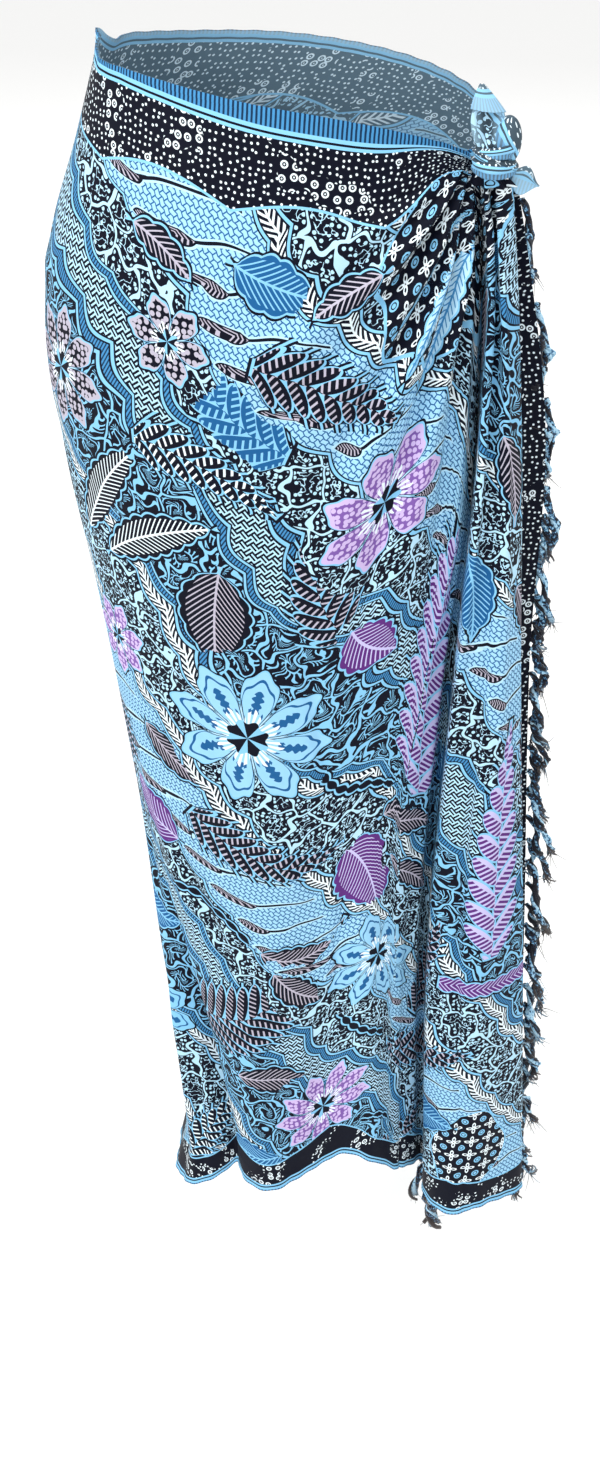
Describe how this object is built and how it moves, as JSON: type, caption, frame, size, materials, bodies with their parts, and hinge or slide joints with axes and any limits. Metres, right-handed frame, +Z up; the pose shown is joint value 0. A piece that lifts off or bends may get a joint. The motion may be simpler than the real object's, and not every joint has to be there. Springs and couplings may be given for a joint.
{
  "type": "sarong",
  "caption": "Rectangular printed cloth wound round the waist as a long wrap skirt, knotted at the left hip, with a knotted fringe on both ends.",
  "frame": {"origin": "middle of the waist opening, where the wearer holds the cloth up", "axes": "+Z up along the body, -Y to the front of the skirt, +X towards the knot, on the wearer's left"},
  "size_m": [0.3815, 0.247, 1.0438],
  "materials": {
    "front_cloth": "thin rayon, wax-resist print in blues and black",
    "back_cloth": "thin rayon, wax-resist print in blues and black",
    "front_end_cloth": "thin rayon, wax-resist print in blues and black",
    "under_end_cloth": "thin rayon, wax-resist print in blues and black",
    "knot_core_cloth": "thin rayon, gathered",
    "knot_band_cloth": "thin rayon, wound",
    "front_fringe_threads": "twisted rayon threads, frayed ends",
    "under_fringe_threads": "twisted rayon threads, frayed ends"
  },
  "bodies": {
    "root": {"front_panel": "front_cloth", "back_panel": "back_cloth", "front_end": "front_end_cloth", "under_end": "under_end_cloth", "knot_core": "knot_core_cloth", "knot_band": "knot_band_cloth", "front_fringe": "front_fringe_threads", "under_fringe": "under_fringe_threads"}
  },
  "joints": []
}
